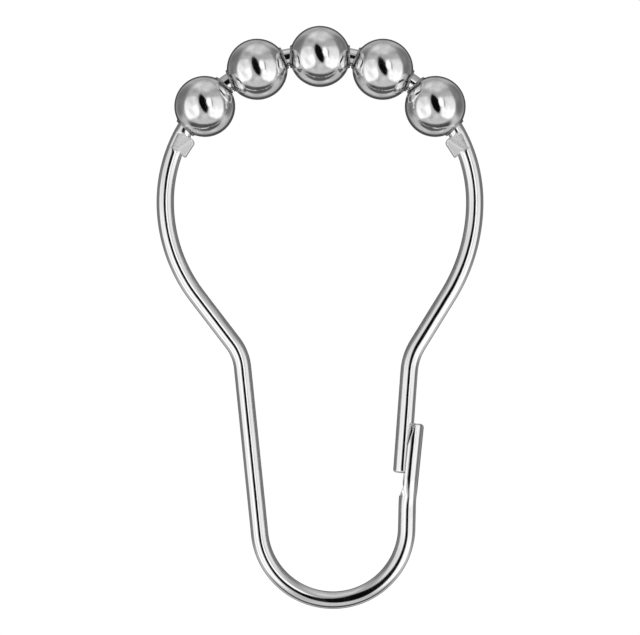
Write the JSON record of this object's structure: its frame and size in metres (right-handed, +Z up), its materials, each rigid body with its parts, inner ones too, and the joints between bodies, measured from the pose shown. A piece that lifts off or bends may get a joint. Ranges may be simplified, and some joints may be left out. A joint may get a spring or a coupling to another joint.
{
  "type": "roller shower curtain hook",
  "caption": "Pear-shaped spring wire hook that hangs a shower curtain on a rod, with hollow roller balls threaded over its head and a clasp in one arm.",
  "frame": {"origin": "centre of the head, at the level of its widest points and half way between its two sides, where the rod passes", "axes": "+Z up, from the bottom bend to the balls; +X towards the arm with the clasp; +Y along the rod, away from the hook's face"},
  "size_m": [0.045, 0.0084, 0.0802],
  "materials": {
    "wire": "bright plated spring wire, polished",
    "ball": "bright plated hollow ball, polished"
  },
  "bodies": {
    "wire": {"hook_wire": "wire"},
    "ball_1": {"roller_ball_1": "ball"},
    "ball_2": {"roller_ball_2": "ball"},
    "ball_3": {"roller_ball_3": "ball"},
    "ball_4": {"roller_ball_4": "ball"},
    "ball_5": {"roller_ball_5": "ball"}
  },
  "joints": [
    {"name": "ball_1_spin", "type": "hinge", "parent": "wire", "child": "ball_1", "pos_m": [-0.01585, 0, 0.01315], "axis": [0.6726, 0, 0.74], "continuous": true},
    {"name": "ball_2_spin", "type": "hinge", "parent": "wire", "child": "ball_2", "pos_m": [-0.00864, 0, 0.01826], "axis": [0.9198, 0, 0.3923], "continuous": true},
    {"name": "ball_3_spin", "type": "hinge", "parent": "wire", "child": "ball_3", "pos_m": [0, 0, 0.02002], "axis": [1, 0, 0], "continuous": true},
    {"name": "ball_4_spin", "type": "hinge", "parent": "wire", "child": "ball_4", "pos_m": [0.00864, 0, 0.01826], "axis": [0.9198, 0, -0.3923], "continuous": true},
    {"name": "ball_5_spin", "type": "hinge", "parent": "wire", "child": "ball_5", "pos_m": [0.01585, 0, 0.01315], "axis": [0.6726, 0, -0.74], "continuous": true}
  ]
}
